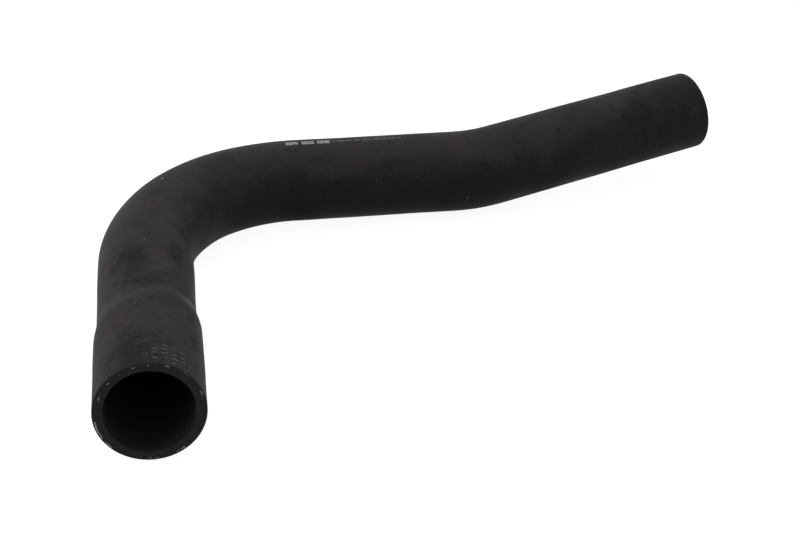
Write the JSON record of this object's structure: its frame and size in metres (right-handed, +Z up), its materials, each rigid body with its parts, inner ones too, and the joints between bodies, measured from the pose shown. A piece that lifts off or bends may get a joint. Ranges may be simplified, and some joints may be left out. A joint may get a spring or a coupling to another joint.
{
  "type": "charge air hose",
  "caption": "Moulded rubber charge air hose with a compound elbow, a flared cuff at one end and a long plain leg that bears off and climbs to the other.",
  "frame": {"origin": "under the middle of the bounding box, on the surface that the hose lies on", "axes": "+Z up from that surface, +X along the long run towards the plain end, +Y along the near leg from the cuff's mouth to the elbow"},
  "size_m": [0.3634, 0.2894, 0.0612],
  "materials": {
    "rubber": "matt black moulded rubber with a faint wrapped texture, cut square at both ends"
  },
  "bodies": {
    "root": {"hose": "rubber"}
  },
  "joints": []
}
